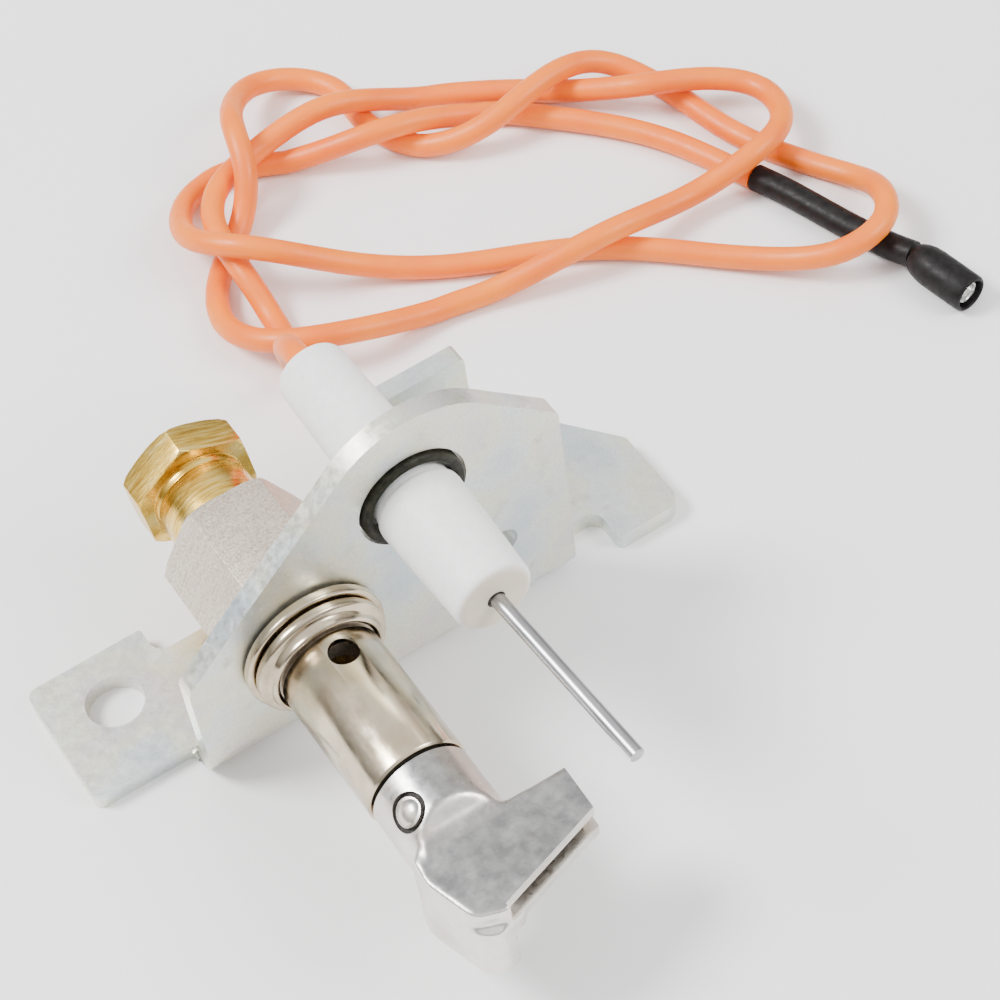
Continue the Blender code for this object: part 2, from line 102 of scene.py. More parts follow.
def keep(obj, name, finish, body="root", replaces=(), sharp=35, bevel=0.0, segments=3):
    """Turns an object with modifiers into a plain mesh in the row frame, finished and riding on a body."""
    if bevel:
        edge = obj.modifiers.new("edge", "BEVEL")
        edge.width = bevel * MM
        edge.segments = segments
        edge.limit_method = "ANGLE"
        edge.angle_limit = math.radians(40)
    bpy.context.view_layer.update()
    ready = obj.evaluated_get(bpy.context.evaluated_depsgraph_get())
    mesh = bpy.data.meshes.new_from_object(ready)
    mesh.transform(obj.matrix_world)
    tidy = bmesh.new()
    tidy.from_mesh(mesh)
    bmesh.ops.remove_doubles(tidy, verts=tidy.verts, dist=WELD / 10)
    tidy.to_mesh(mesh)
    tidy.free()
    made = bpy.data.objects.new(name, mesh)
    bpy.context.scene.collection.objects.link(made)
    bpy.data.objects.remove(obj)
    mesh.shade_smooth()
    mesh.set_sharp_from_angle(angle=math.radians(sharp))
    mesh.materials.clear()
    mesh.materials.append(finish)
    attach(made, body)
    if replaces:
        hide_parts(*replaces)
    return made


def link(name, data, location=(0, 0, 0), turn=(0, 0, 0)):
    made = bpy.data.objects.new(name, data)
    made.location = world(*location)
    made.rotation_euler = turn
    bpy.context.scene.collection.objects.link(made)
    return made


def turned(name, profile, axis, segments=96, closed=True):
    """A turned shape along the design's y axis from (radius, y) points that run to lower y on the outside."""
    mesh = bpy.data.meshes.new(name)
    bm = bmesh.new()
    verts = [bm.verts.new((r * MM, 0, y * MM)) for r, y in profile]
    for a, b in zip(verts, verts[1:] + (verts[:1] if closed else [])):
        bm.edges.new((a, b))
    bm.to_mesh(mesh)
    bm.free()
    made = link(name, mesh, (axis[0], 0, axis[1]), (-math.pi / 2, 0, 0))
    screw = made.modifiers.new("turn", "SCREW")
    screw.steps = segments
    screw.render_steps = segments
    screw.use_merge_vertices = not closed
    screw.merge_threshold = WELD
    return made


def hexagon(name, across_flats, rear, front, corner_deg):
    mesh = bpy.data.meshes.new(name)
    bm = bmesh.new()
    radius = across_flats / math.sqrt(3) * MM
    turn = Matrix.Rotation(math.radians(30 - corner_deg), 4, "Z")
    lift = Matrix.Translation((0, 0, (rear + front) / 2 * MM))
    bmesh.ops.create_cone(
        bm, cap_ends=True, segments=6, radius1=radius, radius2=radius, depth=(rear - front) * MM,
        matrix=lift @ turn
    )
    bm.to_mesh(mesh)
    bm.free()
    return link(name, mesh, (BURNER[0], 0, BURNER_Z), (-math.pi / 2, 0, 0))


def combine(part, tool, operation):
    step = part.modifiers.new(operation.lower(), "BOOLEAN")
    step.object = tool
    step.operation = operation
    step.solver = "EXACT"
    tool.hide_render = True
    tool["scrap"] = True


def clear_scrap():
    for thing in [o for o in bpy.data.objects if o.get("scrap")]:
        bpy.data.objects.remove(thing)


def rounded(corners, steps=12):
    """Outline points for (x, y, radius) corners, each turned into an arc."""
    points = []
    for i, (x, y, radius) in enumerate(corners):
        here = Vector((x, y))
        back = (Vector(corners[i - 1][:2]) - here).normalized()
        ahead = (Vector(corners[(i + 1) % len(corners)][:2]) - here).normalized()
        half = back.angle(ahead) / 2
        reach = radius / math.tan(half)
        middle = here + (back + ahead).normalized() * radius / math.sin(half)
        start = here + back * reach - middle
        sweep = start.angle_signed(here + ahead * reach - middle)
        for k in range(steps + 1):
            points.append(middle + Matrix.Rotation(-sweep * k / steps, 2) @ start)
    return points


def circle(x, y, radius, segments=72):
    angles = [2 * math.pi * k / segments for k in range(segments)]
    return [Vector((x + radius * math.cos(a), y + radius * math.sin(a))) for a in angles]


def box(x0, x1, y0, y1):
    return [(x0, y0), (x1, y0), (x1, y1), (x0, y1)]


def flat_mesh(name, outlines, thickness=0.0):
    curve = bpy.data.curves.new(name, "CURVE")
    curve.dimensions = "2D"
    curve.fill_mode = "BOTH"
    curve.extrude = thickness / 2 * MM
    for outline in outlines:
        spline = curve.splines.new("POLY")
        spline.points.add(len(outline) - 1)
        for point, corner in zip(spline.points, outline):
            point.co = (corner[0] * MM, corner[1] * MM, 0, 1)
        spline.use_cyclic_u = True
    holder = bpy.data.objects.new(name + "_outline", curve)
    bpy.context.scene.collection.objects.link(holder)
    ready = holder.evaluated_get(bpy.context.evaluated_depsgraph_get())
    mesh = bpy.data.meshes.new_from_object(ready)
    bpy.data.objects.remove(holder)
    bm = bmesh.new()
    bm.from_mesh(mesh)
    bmesh.ops.remove_doubles(bm, verts=bm.verts, dist=WELD / 2)
    bmesh.ops.recalc_face_normals(bm, faces=bm.faces)
    bm.to_mesh(mesh)
    bm.free()
    return mesh


def slab(name, outline, low, high):
    return link(name, flat_mesh(name, [outline], high - low), (0, 0, (low + high) / 2))


# ---------------------------------------------------------------- materials

class Finish:
    """A procedural material on one Principled shader; coordinates are the piece's own, in metres."""

    def __init__(self, name, roughness=0.4, metallic=0.0, **shader):
        self.data = bpy.data.materials.new(name)
        self.data.use_nodes = True
        self.nodes = self.data.node_tree.nodes
        self.links = self.data.node_tree.links
        self.shader = self.nodes["Principled BSDF"]
        self.shader.inputs["Roughness"].default_value = roughness
        self.shader.inputs["Metallic"].default_value = metallic
        for socket, value in shader.items():
            self.shader.inputs[socket.replace("_", " ")].default_value = value
        self.place = self.nodes.new("ShaderNodeTexCoord").outputs["Object"]

    def noise(self, per_mm, detail=4, stretch=(1, 1, 1), shift=0.0, rough=0.55):
        mapping = self.nodes.new("ShaderNodeMapping")
        mapping.inputs["Scale"].default_value = [s * per_mm / MM for s in stretch]
        mapping.inputs["Location"].default_value = (shift, shift * 2, shift * 3)
        self.links.new(self.place, mapping.inputs["Vector"])
        noise = self.nodes.new("ShaderNodeTexNoise")
        noise.inputs["Scale"].default_value = 1.0
        noise.inputs["Detail"].default_value = detail
        noise.inputs["Roughness"].default_value = rough
        self.links.new(mapping.outputs["Vector"], noise.inputs["Vector"])
        return noise.outputs["Fac"]

    def ramp(self, value, stops):
        ramp = self.nodes.new("ShaderNodeValToRGB")
        elements = ramp.color_ramp.elements
        while len(elements) < len(stops):
            elements.new(0.5)
        for element, (at, color) in zip(elements, stops):
            element.position = at
            element.color = (*color, 1) if hasattr(color, "__len__") else (color, color, color, 1)
        self.links.new(value, ramp.inputs["Fac"])
        return ramp.outputs["Color"]

    def band(self, axis, start, end):
        """0 before start and 1 after end along a design axis, in millimetres."""
        split = self.nodes.new("ShaderNodeSeparateXYZ")
        self.links.new(self.place, split.inputs["Vector"])
        span = self.nodes.new("ShaderNodeMapRange")
        shift = SHIFT["XYZ".index(axis)]
        span.inputs["From Min"].default_value = start * MM + shift
        span.inputs["From Max"].default_value = end * MM + shift
        self.links.new(split.outputs[axis], span.inputs["Value"])
        return span.outputs["Result"]

    def facing_up(self, start=0.8, end=0.97):
        geometry = self.nodes.new("ShaderNodeNewGeometry")
        split = self.nodes.new("ShaderNodeSeparateXYZ")
        self.links.new(geometry.outputs["Normal"], split.inputs["Vector"])
        span = self.nodes.new("ShaderNodeMapRange")
        span.inputs["From Min"].default_value = start
        span.inputs["From Max"].default_value = end
        self.links.new(split.outputs["Z"], span.inputs["Value"])
        return span.outputs["Result"]

    def times(self, a, b):
        product = self.nodes.new("ShaderNodeMath")
        product.operation = "MULTIPLY"
        self.links.new(a, product.inputs[0])
        if hasattr(b, "is_linked"):
            self.links.new(b, product.inputs[1])
        else:
            product.inputs[1].default_value = b
        return product.outputs["Value"]

    def mix(self, mask, a, b):
        mix = self.nodes.new("ShaderNodeMix")
        mix.data_type = "RGBA"
        self.links.new(mask, mix.inputs["Factor"])
        for socket, color in ((mix.inputs[6], a), (mix.inputs[7], b)):
            if hasattr(color, "is_linked"):
                self.links.new(color, socket)
            else:
                socket.default_value = (*color, 1)
        return mix.outputs[2]

    def color(self, value):
        self.links.new(value, self.shader.inputs["Base Color"])

    def roughness(self, value, low, high):
        span = self.nodes.new("ShaderNodeMapRange")
        span.inputs["From Min"].default_value = 0.3
        span.inputs["From Max"].default_value = 0.7
        span.inputs["To Min"].default_value = low
        span.inputs["To Max"].default_value = high
        self.links.new(value, span.inputs["Value"])
        self.links.new(span.outputs["Result"], self.shader.inputs["Roughness"])

    def bump(self, value, depth_mm, strength=1.0):
        bump = self.nodes.new("ShaderNodeBump")
        bump.inputs["Distance"].default_value = depth_mm * MM
        bump.inputs["Strength"].default_value = strength
        earlier = self.shader.inputs["Normal"]
        if earlier.is_linked:
            self.links.new(earlier.links[0].from_socket, bump.inputs["Normal"])
        self.links.new(value, bump.inputs["Height"])
        self.links.new(bump.outputs["Normal"], earlier)


def zinc():
    f = Finish("zinc_plate", metallic=0.9, IOR=1.6)
    patches = f.ramp(f.noise(0.09, 3), [
        (0.30, (0.60, 0.68, 0.72)), (0.44, (0.74, 0.78, 0.76)), (0.54, (0.80, 0.79, 0.66)),
        (0.64, (0.76, 0.72, 0.70)),
        (0.74, (0.66, 0.74, 0.74)),
    ])
    grain = f.ramp(f.noise(3.2, 6), [(0.35, 0.78), (0.65, 1.0)])
    tone = f.nodes.new("ShaderNodeMix")
    tone.data_type = "RGBA"
    tone.blend_type = "MULTIPLY"
    tone.inputs["Factor"].default_value = 0.55
    f.links.new(patches, tone.inputs[6])
    f.links.new(grain, tone.inputs[7])
    smudge = f.ramp(f.noise(0.35, 5, shift=4.0), [(0.60, 0.0), (0.74, 0.45)])
    f.color(f.mix(smudge, tone.outputs[2], (0.40, 0.40, 0.37)))
    f.roughness(f.noise(1.1, 6, shift=2.0), 0.26, 0.46)
    f.bump(f.noise(2.6, 6, shift=1.0), 0.02, 0.5)
    f.bump(f.noise(0.5, 2, shift=3.0), 0.05, 0.4)
    return f.data


def blasted():
    f = Finish("blasted_nickel", metallic=0.95)
    lines = f.noise(0.25, 5, (1, 12, 1))
    f.color(f.mix(f.ramp(f.noise(4.0, 4), [(0.35, 0.0), (0.65, 1.0)]),
                  f.ramp(lines, [(0.3, (0.42, 0.34, 0.26)), (0.7, (0.64, 0.55, 0.44))]), (0.76, 0.68, 0.58)))
    f.roughness(f.noise(3.0, 4, shift=1.0), 0.34, 0.56)
    f.bump(f.noise(5.0, 4, shift=2.0), 0.04, 0.7)
    return f.data


def nickel():
    f = Finish("polished_nickel", metallic=1.0)
    f.color(f.ramp(f.noise(0.16, 4),
        [(0.3, (0.42, 0.34, 0.24)), (0.5, (0.62, 0.53, 0.40)), (0.7, (0.54, 0.43, 0.29))]))
    f.roughness(f.noise(1.5, 6, (1, 0.3, 1)), 0.12, 0.26)
    f.bump(f.noise(0.5, 3, shift=2.0), 0.03, 0.35)
    return f.data


def stainless():
    f = Finish("stainless", metallic=1.0)
    warm = f.ramp(f.noise(0.14, 4),
        [(0.3, (0.66, 0.60, 0.53)), (0.55, (0.80, 0.77, 0.72)), (0.75, (0.70, 0.64, 0.57))])
    tinted = f.mix(f.times(f.band("X", 1.0, 5.0), f.band("Y", -29.0, -27.0)), warm, (0.50, 0.38, 0.33))
    # Painted shade: the hood's up-facing top flat, just under HOOD_TOP, is darkened to noisy greys.
    painted_shade_grey = f.ramp(f.noise(0.6, 6, shift=3.0), [(0.35, (0.20, 0.20, 0.205)), (0.65, (0.40, 0.40, 0.40))])
    up_facing_shade_mask = f.times(f.facing_up(), f.times(f.band("Z", HOOD_TOP - 1.0, HOOD_TOP - 0.4), 0.9))
    f.color(f.mix(up_facing_shade_mask, tinted, painted_shade_grey))
    f.roughness(f.noise(1.6, 6), 0.24, 0.40)
    f.bump(f.noise(1.4, 5, shift=1.0), 0.02, 0.5)
    f.bump(f.noise(0.3, 2, shift=5.0), 0.10, 0.3)
    return f.data


def brass():
    f = Finish("brass", metallic=1.0)
    f.color(f.ramp(f.noise(0.3, 5, (1, 9, 1)), [
        (0.30, (0.44, 0.24, 0.03)), (0.5, (0.78, 0.50, 0.09)), (0.7, (0.95, 0.74, 0.28)),
    ]))
    f.roughness(f.noise(1.2, 5, (1, 8, 1)), 0.16, 0.34)
    f.bump(f.noise(0.9, 4, (1, 10, 1), shift=1.0), 0.02, 0.5)
    return f.data


def plain(name, dark, light, roughness, metallic=0.0, per_mm=1.0, depth=0.01, stretch=(1, 1, 1), **shader):
    """A material with a two-tone grain, a roughness spread and a fine relief."""
    f = Finish(name, metallic=metallic, **shader)
    f.color(f.ramp(f.noise(per_mm, 5, stretch), [(0.35, dark), (0.65, light)]))
    f.roughness(f.noise(per_mm * 1.7, 4, stretch, shift=1.0), roughness * 0.8, min(1.0, roughness * 1.2))
    f.bump(f.noise(per_mm * 2.5, 4, stretch, shift=2.0), depth, 0.6)
    return f.data


def ceramic():
    f = Finish("ceramic_white", Subsurface_Weight=0.1, Subsurface_Scale=0.001)
    body = f.ramp(f.noise(1.2, 5), [(0.35, (0.84, 0.835, 0.82)), (0.65, (0.90, 0.895, 0.885))])
    # Painted shade: the last 0.35 mm of the nose, the tip's end face, blends from white to beige.
    f.color(f.mix(f.band("Y", CERAMIC_TIP + 0.35, CERAMIC_TIP), body, (0.72, 0.62, 0.50)))
    f.roughness(f.noise(2.0, 4, shift=1.0), 0.42, 0.6)
    f.bump(f.noise(3.0, 4, shift=2.0), 0.015, 0.5)
    return f.data


def silicone():
    f = Finish("orange_silicone", metallic=0.0, Specular_IOR_Level=0.45, Subsurface_Weight=0.08,
        Subsurface_Scale=0.002)
    base = f.ramp(f.noise(0.12, 4), [(0.3, (0.84, 0.15, 0.0)), (0.7, (0.93, 0.22, 0.0))])
    specks = f.ramp(f.noise(2.4, 2, shift=6.0), [(0.74, 0.0), (0.78, 0.5)])
    f.color(f.mix(specks, base, (1.0, 0.45, 0.2)))
    f.roughness(f.noise(0.8, 5, shift=1.0), 0.36, 0.52)
    f.bump(f.noise(1.6, 4, shift=2.0), 0.02, 0.4)
    return f.data


ZINC, BLASTED, NICKEL = zinc(), blasted(), nickel()
STAINLESS, BRASS, SILICONE = stainless(), brass(), silicone()
CERAMIC_WHITE = ceramic()
OXIDE = plain("black_oxide", (0.006, 0.006, 0.003), (0.024, 0.024, 0.014), 0.45, 0.0, 1.5, 0.02,
    Specular_IOR_Level=0.2)
ROD_STEEL = plain("rod_steel", (0.30, 0.30, 0.31), (0.52, 0.52, 0.54), 0.3, 1.0, 0.8, 0.012, (1, 0.12, 1))
COPPER = plain("tinned_copper", (0.55, 0.42, 0.34), (0.78, 0.66, 0.56), 0.35, 1.0, 2.0, 0.02, (1, 0.2, 1))
CEMENT = plain("cement", (0.62, 0.56, 0.46), (0.78, 0.73, 0.64), 0.85, per_mm=2.5, depth=0.06)
RESIN = plain("resin", (0.80, 0.78, 0.72), (0.88, 0.86, 0.82), 0.55, per_mm=1.0, depth=0.03)
SHRINK = plain("black_shrink", (0.003, 0.002, 0.002), (0.011, 0.010, 0.010), 0.5, per_mm=0.9, depth=0.03,
               Specular_IOR_Level=0.2)
TIN = plain("socket_tin", (0.62, 0.62, 0.60), (0.86, 0.86, 0.84), 0.24, 1.0, 1.5, 0.015)
DARK = plain("gap_shadow", (0.012, 0.011, 0.010), (0.035, 0.032, 0.028), 0.6, 0.3, 2.0, 0.02)


# ---------------------------------------------------------------- pieces

def make_bracket():
    """A flat blank with its holes, bent up at the front and at the rear tab, then given its thickness."""
    middle_r = BEND_R - PLATE / 2
    arc = middle_r * math.pi / 2
    tab_back, tab_top = 19.6, 20.5
    tab_bend = tab_back - BEND_R
    slot_end = tab_bend - 0.7
    left, right = -13.65, 31.0
    tab_left, tab_right, relief = 18.0, 29.85, 1.05

    def up(z):
        return BEND_R - arc - (z - BEND_R)

    tab_end = tab_bend + arc + tab_top - BEND_R
    corners = [
        (-25.1, 4.6, 0.8), (left, 4.6, 1.2), (left, up(16.85), 2.0), (14.8, up(43.0), 11.9),
        (right, up(27.7), 1.2), (right, 4.65, 0.6), (36.4, 4.65, 1.5), (36.4, 0.0, 0.7), (44.6, 0.0, 2.0),
        (44.6, 10.8, 1.0), (37.1, 20.5, 0.8), (tab_right + relief, 20.5, 0.6),
        (tab_right + relief, slot_end, 0.4),
        (tab_right, slot_end, 0.4), (tab_right, tab_end, 0.6), (tab_left, tab_end, 0.6),
        (tab_left, slot_end, 0.4),
        (tab_left - relief, slot_end, 0.4), (tab_left - relief, 16.65, 0.5), (-11.3, 16.65, 1.6),
        (-11.3, 20.5, 0.4), (-25.1, 20.5, 1.2),
    ]
    holes = [
        circle(-17.8, 14.0, 3.2), circle(0, up(BURNER_Z), 5.9), circle(CERAMIC[0], up(CERAMIC[1]), 6.14),
        circle(22.7, up(12.6), 1.8),
    ]
    mesh = flat_mesh("blank", [rounded(corners), *holes])
    bm = bmesh.new()
    bm.from_mesh(mesh)
    steps = 16
    for k in range(steps + 1):
        for y in (BEND_R - arc * k / steps, tab_bend + arc * k / steps):
            everything = bm.verts[:] + bm.edges[:] + bm.faces[:]
            bmesh.ops.bisect_plane(bm, geom=everything, plane_co=(0, y * MM, 0), plane_no=(0, 1, 0), dist=1e-8)
    for vert in bm.verts:
        x, y = vert.co.x / MM, vert.co.y / MM
        on_upright = left - 0.01 < x < right + 0.01 and y < BEND_R
        on_tab = tab_left - 0.01 < x < tab_right + 0.01 and y > tab_bend
        z = PLATE / 2
        if on_upright or on_tab:
            bend_at, side = (BEND_R, -1) if on_upright else (tab_bend, 1)
            run = abs(y - bend_at)
            angle = min(run, arc) / middle_r
            y = bend_at + side * middle_r * math.sin(angle)
            z = BEND_R - middle_r * math.cos(angle) + max(0, run - arc)
        vert.co = Vector((x, y, z)) * MM
    bm.to_mesh(mesh)
    bm.free()
    blank = link("blank", mesh)
    shell = blank.modifiers.new("plate", "SOLIDIFY")
    shell.thickness = (PLATE - 0.01) * MM
    shell.offset = 0
    keep(blank, "bracket_plate", ZINC, replaces=["bracket"], bevel=0.28, sharp=50)


def make_body():
    """The hexagonal body with chamfered ends, a turned face at the back and its bore."""
    body = hexagon("hexagon", 14.29, 16.0, PLATE + 0.3, 58.6)
    corner_r = 14.29 / math.sqrt(3)
    chamfer = turned("chamfer", [
        (0, 16.0), (corner_r - 0.7, 16.0), (corner_r + 0.05, 15.6), (corner_r + 0.05, 2.8),
        (corner_r - 0.4, 2.6), (0, 2.6),
    ], BURNER, closed=False)
    spigot = turned("spigot", [(0, 4), (5.55, 4), (5.55, -3.6), (4.55, -3.6), (4.55, -4.9), (0, -4.9)],
        BURNER, closed=False)
    bore = turned("bore", [
        (0, 17), (6.0, 17), (5.9, 15.9), (5.34, 15.3), (5.34, 3.3), (3.4, 3.3), (3.4, -2.0), (2.4, -2.0),
        (2.4, -6), (0, -6),
    ], BURNER, closed=False)
    combine(body, chamfer, "INTERSECT")
    combine(body, spigot, "UNION")
    combine(body, bore, "DIFFERENCE")
    keep(body, "hex_body", BLASTED, replaces=["burner_body"], bevel=0.18)


def make_collar():
    inner = 5.85
    washer = turned("washer", [(7.85, -0.3), (7.85, -1.5), (inner, -1.5), (inner, -0.3)], BURNER)
    keep(washer, "washer", NICKEL, replaces=["lock_washer"], bevel=0.3)
    collar = turned("collar", [
        (7.3, -1.8), (7.3, -2.6), (7.0, -2.85), (6.55, -2.95), (6.35, -3.3), (6.3, -3.7), (6.1, -3.9),
        (inner, -3.9),
        (inner, -1.8),
    ], BURNER)
    keep(collar, "collar", NICKEL, replaces=["retaining_collar"], bevel=0.15)


def make_tube():
    tube = turned("tube", [
        (TUBE_R - 0.2, TUBE_REAR), (TUBE_R, TUBE_REAR - 0.3), (TUBE_R, TUBE_FRONT + 0.25),
        (TUBE_R - 0.2, TUBE_FRONT),
        (4.95, TUBE_FRONT), (4.9, TUBE_FRONT + 0.2), (4.9, TUBE_REAR),
    ], BURNER, segments=128)
    drill = slab("drill", circle(0.7, -6.8, 1.6), BURNER_Z + 2, BURNER_Z + 8)
    combine(tube, drill, "DIFFERENCE")
    keep(tube, "tube", NICKEL, replaces=["burner_tube"], bevel=0.12)


def on_sleeve(piece, degrees, y):
    """Moves a piece made on the origin, with z outwards, to the hood sleeve's surface."""
    angle = math.radians(degrees)
    piece.location = world(BURNER[0] + HOOD_R * math.cos(angle), y, BURNER_Z + HOOD_R * math.sin(angle))
    piece.rotation_euler = (0, math.pi / 2 - angle, 0)


def make_hood():
    """One formed sheet: the outer form is blended soft, then its ends, cavities and slot are cut crisp."""
    outer = turned("outer", [
        (0, HOOD_REAR + 1), (HOOD_R, HOOD_REAR + 1), (HOOD_R + 0.02, -26.0), (HOOD_R + 0.05, -31.0), (0, -31.0),
    ], BURNER, closed=False)
    horn = rounded([
        (-5.6, -28.6, 1.2), (-5.9, -32.2, 1.6), (-4.2, -37.8, 2.0), (-1.2, -38.9, 1.2), (13.4, -34.4, 0.4),
        (13.6, -28.9, 0.4),
    ])
    skirt = rounded([
        (-5.7, -28.6, 1.2), (-6.3, -32.0, 1.6), (-4.4, -38.4, 1.8), (-2.7, HOOD_FRONT - 0.15, 1.4),
        (0.8, -38.7, 0.3),
        (0.8, -28.6, 0.3),
    ])
    combine(outer, slab("horn", horn, 13.5, HOOD_TOP), "UNION")
    combine(outer, slab("skirt", skirt, 6.8, 15.6), "UNION")
    slope = link("slope", flat_mesh("slope", [[
        (-26.0, 20.9), (-28.2, 18.6), (-30.3, HOOD_TOP), (-45.0, HOOD_TOP), (-45.0, 26.0), (-26.0, 26.0),
    ]], 40), turn=(math.pi / 2, 0, math.pi / 2))
    combine(outer, slope, "DIFFERENCE")
    soft = outer.modifiers.new("sheet", "REMESH")
    soft.mode = "VOXEL"
    soft.voxel_size = 0.2 * MM
    ease = outer.modifiers.new("ease", "SMOOTH")
    ease.factor = 0.5
    ease.iterations = 40
    slot_low = 15.3
    cuts = [
        slab("rear_end", box(-9, 9, HOOD_REAR, HOOD_REAR + 3), 5.0, 25.0),
        slab("horn_end", [(11.6, -27.0), (11.15, -40.0), (16.0, -40.0), (16.0, -27.0)], 10.0, 20.0),
        slab("skirt_end", box(-9, 14, -42.0, -31.2), 4.0, 8.25),
        slab("skirt_side", box(-0.75, 14, -42.0, -31.2), 4.0, 13.45),
        turned("sleeve_bore", [(0, -20), (4.9, -20), (4.9, -27), (0, -27)], BURNER, closed=False),
        slab("throat", box(-3.2, 3.2, -30.6, -26.0), 10.6, 16.7),
        slab("horn_chamber", rounded([
            (-4.2, -29.4, 0.5), (-4.7, -32.2, 0.6), (-3.0, -36.8, 0.6), (-1.2, -37.4, 0.4), (10.2, -34.0, 0.3),
            (10.7, -29.9, 0.3),
        ]), 13.6 + HOOD_WALL, HOOD_TOP - HOOD_WALL - 0.1),
        slab("skirt_chamber", rounded([
            (-4.4, -29.8, 0.5), (-5.1, -32.1, 0.5), (-3.4, -36.3, 0.8), (-2.5, -37.0, 0.4), (1.0, -36.8, 0.1),
            (1.0, -29.8, 0.1),
        ]), 6.5, 14.8),
        slab("flame_slot", [(-1.0, -42.0), (14.0, -42.0), (14.0, -32.6), (-0.2, -36.0)], slot_low,
            slot_low + 1.15),
        slab("upper_lip", [(-0.9, -38.15), (-0.9, -42.0), (14.0, -42.0), (14.0, -33.55)], slot_low,
            HOOD_TOP + 1),
    ]
    for cut in cuts:
        combine(outer, cut, "DIFFERENCE")
    groove = turned("groove", [(2.0, 0.9), (2.0, -0.8), (1.5, -0.8), (1.5, 0.9)], (0, 0), segments=48)
    on_sleeve(groove, 130, -25.2)
    combine(outer, groove, "DIFFERENCE")
    keep(outer, "hood_shell", STAINLESS, replaces=["hood"], sharp=40)


def make_stud():
    dome = turned("dome", [(0, 0.28), (0.5, 0.26), (1.0, 0.12), (1.35, -0.15), (1.45, -0.4), (0, -0.4)],
        (0, 0), 48, False)
    on_sleeve(dome, 130, -25.2)
    keep(dome, "stud_head", STAINLESS, replaces=["hood_stud"])
    floor = turned("recess", [(1.98, -0.55), (1.98, -0.7), (1.52, -0.7), (1.52, -0.55)], (0, 0), segments=48)
    on_sleeve(floor, 130, -25.2)
    keep(floor, "stud_recess", DARK)


def make_nut():
    across_flats, rear, face, nose = 12.7, 27.1, 23.1, 12.0
    corner_r = across_flats / math.sqrt(3)
    nut = hexagon("nut_hex", across_flats, rear, face, 35.6)
    chamfer = turned("nut_turned", [
        (0, rear), (corner_r - 0.95, rear), (corner_r - 0.35, rear - 0.28), (corner_r + 0.02, rear - 0.75),
        (corner_r + 0.02, face + 0.35), (corner_r - 0.5, face), (0, face),
    ], BURNER, closed=False)
    neck = turned("nut_neck", [
        (0, face + 0.8), (5.25, face + 0.8), (5.25, face - 0.4), (5.05, face - 0.8), (5.25, face - 1.2),
        (5.25, nose + 0.5),
        (4.9, nose), (0, nose),
    ], BURNER, closed=False)
    bore = turned("nut_bore",
        [(0, rear + 1), (3.9, rear + 1), (3.75, rear - 0.1), (3.2, rear - 0.7), (3.2, 11), (0, 11)],
                  BURNER, closed=False)
    combine(nut, chamfer, "INTERSECT")
    combine(nut, neck, "UNION")
    combine(nut, bore, "DIFFERENCE")
    keep(nut, "nut", BRASS, body="nut", replaces=["compression_nut"], bevel=0.12)


def make_ceramic():
    steps = 8
    tip_r, edge = 4.25, 0.9
    nose = [
        (tip_r - edge + edge * math.cos(a), CERAMIC_TIP + edge - edge * math.sin(a))
        for a in [math.pi / 2 * k / steps for k in range(steps + 1)]
    ]
    body = turned("ceramic", [
        (3.3, CERAMIC_REAR), (3.7, CERAMIC_REAR - 0.15), (3.85, CERAMIC_REAR - 0.5), (4.3, 3.0), (4.3, -0.95),
        (4.5, -1.1), (4.7, -1.3), (CERAMIC_R, -1.7), *nose, (1.0, CERAMIC_TIP), (1.0, CERAMIC_TIP + 0.09),
        (2.2, CERAMIC_TIP + 0.09),
        (2.2, CERAMIC_TIP + 2.5),
        (1.2, CERAMIC_TIP + 2.7), (1.2, 2.5), (2.0, 2.7), (2.0, 13.5), (2.6, 13.8), (2.6, CERAMIC_REAR - 0.3),
        (2.9, CERAMIC_REAR),
    ], CERAMIC)
    keep(body, "ceramic_body", CERAMIC_WHITE, replaces=["ceramic_insulator"], sharp=45)
    clip = turned("clip", [
        (5.84, 2.6), (5.84, -0.35), (5.6, -0.6), (5.0, -0.6), (4.65, -0.3), (4.6, 2.6),
    ], CERAMIC)
    slot = slab("clip_slot", box(CERAMIC[0] - 0.5, CERAMIC[0] + 0.5, -3, 5), CERAMIC[1] - 8, CERAMIC[1] - 3)
    combine(clip, slot, "DIFFERENCE")
    keep(clip, "clip", OXIDE, replaces=["insulator_clip"], bevel=0.1)


def wire(name, points, radius, finish, resolution=8):
    """A tube along points in the row frame."""
    curve = bpy.data.curves.new(name, "CURVE")
    curve.dimensions = "3D"
    curve.bevel_depth = radius * MM
    curve.bevel_resolution = resolution
    curve.use_fill_caps = True
    spline = curve.splines.new("POLY")
    spline.points.add(len(points) - 1)
    for point, co in zip(spline.points, points):
        point.co = (*co, 1)
    made = bpy.data.objects.new(name, curve)
    bpy.context.scene.collection.objects.link(made)
    curve.materials.append(finish)
    return made


def make_rod():
    start = (CERAMIC[0], 7.5, CERAMIC[1])
    leave = (CERAMIC[0], CERAMIC_TIP + 1.5, CERAMIC[1])
    end = (15.07, -37.2, 27.0)
    points = [Vector(start), Vector(leave) + Vector((0, 2, 0)), Vector(leave), Vector(end)]
    rod = wire("rod", [world(*p) for p in points], 0.8, ROD_STEEL)
    keep(rod, "spark_rod", ROD_STEEL, replaces=["electrode_rod"], bevel=0.12)


